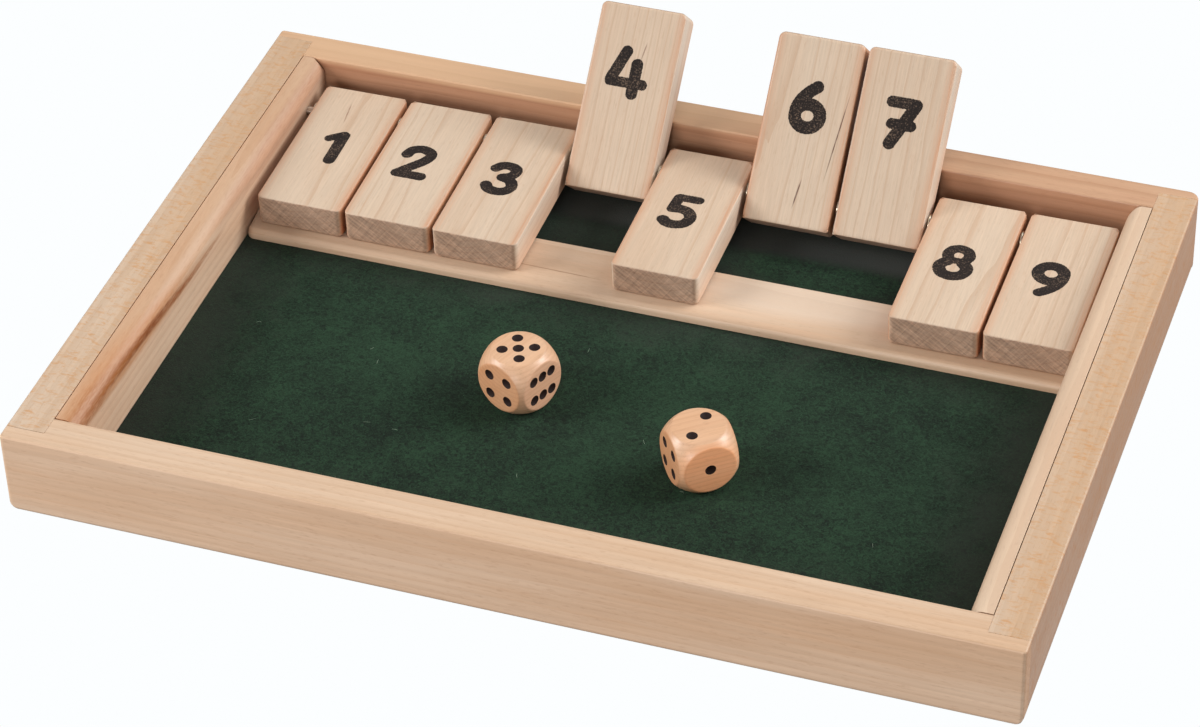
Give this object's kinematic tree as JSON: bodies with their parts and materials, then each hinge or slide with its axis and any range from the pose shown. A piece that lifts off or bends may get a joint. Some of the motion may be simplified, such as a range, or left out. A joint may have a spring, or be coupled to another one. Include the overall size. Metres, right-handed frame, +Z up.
{
  "type": "shut the box game tray",
  "caption": "Lined wooden game tray with numbered tiles that flip on a steel rod, some shut and some raised against the back rail, and a pair of wooden dice on green felt.",
  "frame": {"origin": "centre of the tray's underside", "axes": "+X to the player's right along the tray's width, +Y from the player to the back rail, +Z up"},
  "size_m": [0.25, 0.185, 0.0484],
  "materials": {
    "rail_wood": "clear satin lacquer on pale hardwood",
    "back_wood": "clear satin lacquer on a warmer board of the same hardwood",
    "panel_wood": "sanded birch plywood, unlacquered",
    "liner_wood": "clear satin lacquer on pale hardwood with a rounded edge",
    "strip_wood": "clear satin lacquer on pale hardwood",
    "tile_wood": "thin matt lacquer on pale hardwood, numbers printed in worn black ink on both faces",
    "die_wood": "glossier lacquer on pale hardwood, dark painted pips",
    "felt": "dark green pressed wool felt",
    "rod_steel": "bright drawn steel wire",
    "washer_steel": "bright stamped steel"
  },
  "bodies": {
    "tray": {"front_rail": "rail_wood", "back_rail": "back_wood", "left_rail": "rail_wood", "right_rail": "rail_wood", "base_panel": "panel_wood", "felt_sheet": "felt", "left_liner": "liner_wood", "right_liner": "liner_wood", "rest_strip": "strip_wood", "hinge_rod": "rod_steel", "washers": "washer_steel"},
    "tile_1": {"tile_1": "tile_wood"},
    "tile_2": {"tile_2": "tile_wood"},
    "tile_3": {"tile_3": "tile_wood"},
    "tile_4": {"tile_4": "tile_wood"},
    "tile_5": {"tile_5": "tile_wood"},
    "tile_6": {"tile_6": "tile_wood"},
    "tile_7": {"tile_7": "tile_wood"},
    "tile_8": {"tile_8": "tile_wood"},
    "tile_9": {"tile_9": "tile_wood"},
    "die_1": {"die_1": "die_wood"},
    "die_2": {"die_2": "die_wood"}
  },
  "joints": [
    {"name": "tile_1_hinge", "type": "hinge", "parent": "tray", "child": "tile_1", "pos_m": [-0.09482, 0.06575, 0.01515], "axis": [-1, 0, 0], "range_deg": [0, 135.77]},
    {"name": "tile_2_hinge", "type": "hinge", "parent": "tray", "child": "tile_2", "pos_m": [-0.07087, 0.06575, 0.01515], "axis": [-1, 0, 0], "range_deg": [0, 135.77]},
    {"name": "tile_3_hinge", "type": "hinge", "parent": "tray", "child": "tile_3", "pos_m": [-0.04691, 0.06575, 0.01515], "axis": [-1, 0, 0], "range_deg": [0, 135.77]},
    {"name": "tile_4_hinge", "type": "hinge", "parent": "tray", "child": "tile_4", "pos_m": [-0.02296, 0.06575, 0.01515], "axis": [1, 0, 0], "range_deg": [0, 135.77]},
    {"name": "tile_5_hinge", "type": "hinge", "parent": "tray", "child": "tile_5", "pos_m": [0.001, 0.06575, 0.01515], "axis": [-1, 0, 0], "range_deg": [0, 135.77]},
    {"name": "tile_6_hinge", "type": "hinge", "parent": "tray", "child": "tile_6", "pos_m": [0.02496, 0.06575, 0.01515], "axis": [1, 0, 0], "range_deg": [0, 135.77]},
    {"name": "tile_7_hinge", "type": "hinge", "parent": "tray", "child": "tile_7", "pos_m": [0.04891, 0.06575, 0.01515], "axis": [1, 0, 0], "range_deg": [0, 135.77]},
    {"name": "tile_8_hinge", "type": "hinge", "parent": "tray", "child": "tile_8", "pos_m": [0.07287, 0.06575, 0.01515], "axis": [-1, 0, 0], "range_deg": [0, 135.77]},
    {"name": "tile_9_hinge", "type": "hinge", "parent": "tray", "child": "tile_9", "pos_m": [0.09682, 0.06575, 0.01515], "axis": [-1, 0, 0], "range_deg": [0, 135.77]},
    {"name": "die_1_lift", "type": "slide", "parent": "tray", "child": "die_1", "axis": [0, 0, 1], "range_m": [0, 0.06]},
    {"name": "die_2_lift", "type": "slide", "parent": "tray", "child": "die_2", "axis": [0, 0, 1], "range_m": [0, 0.06]}
  ]
}
